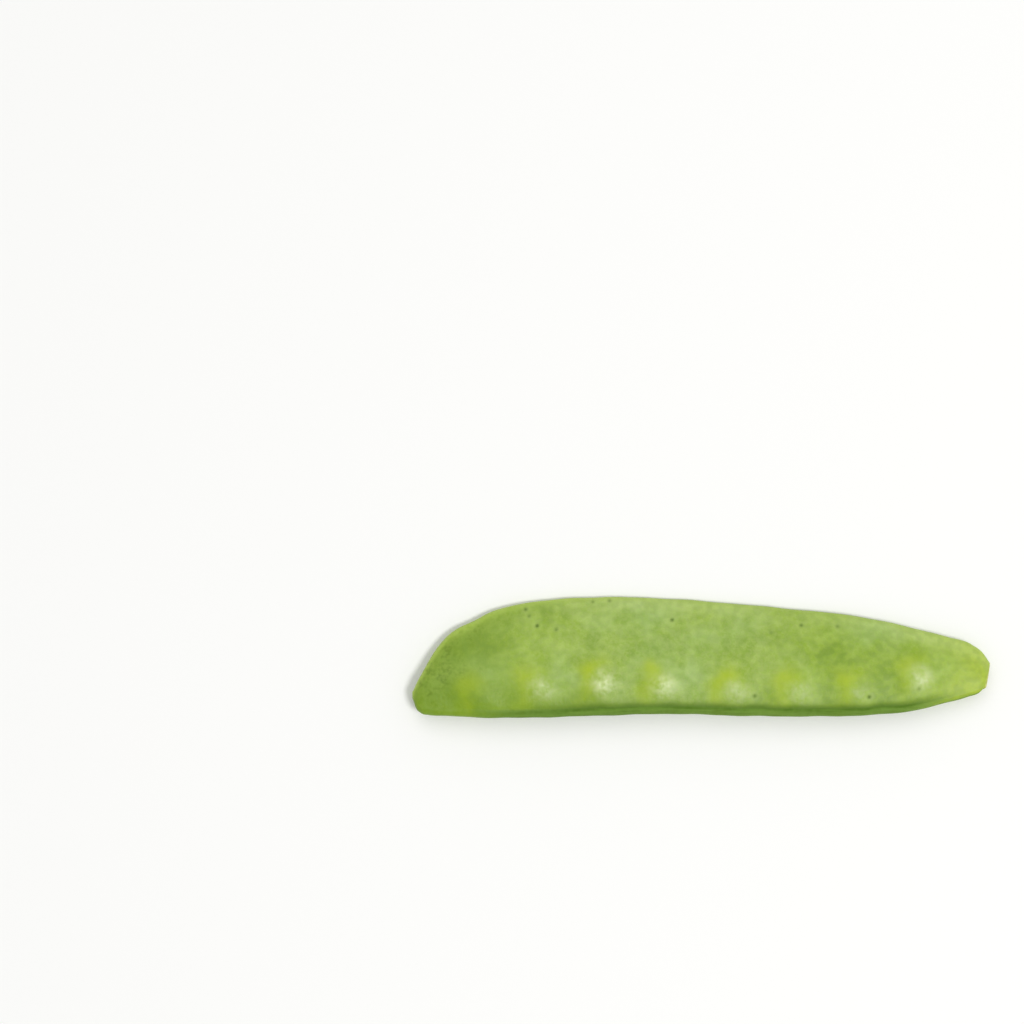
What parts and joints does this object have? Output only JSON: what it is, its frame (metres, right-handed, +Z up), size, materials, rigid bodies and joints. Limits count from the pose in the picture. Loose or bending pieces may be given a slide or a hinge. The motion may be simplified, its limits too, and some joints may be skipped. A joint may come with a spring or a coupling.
{
  "type": "snow pea pod",
  "caption": "Flat green snow pea pod as picked, lying on its side, with small seeds swelling its two closed valves.",
  "frame": {"origin": "centre of the pod's footprint box, on the surface it lies on", "axes": "+X from the blossom tip to the stem end, +Y from the seed-bearing suture to the arched suture, +Z up through the thickness"},
  "size_m": [0.09, 0.0188, 0.0058],
  "materials": {
    "pea_pod_skin": "fresh pea pod skin: matte, waxy, mid green, paler along the edges and yellow-green over the seeds"
  },
  "bodies": {
    "root": {"pod": "pea_pod_skin"}
  },
  "joints": []
}
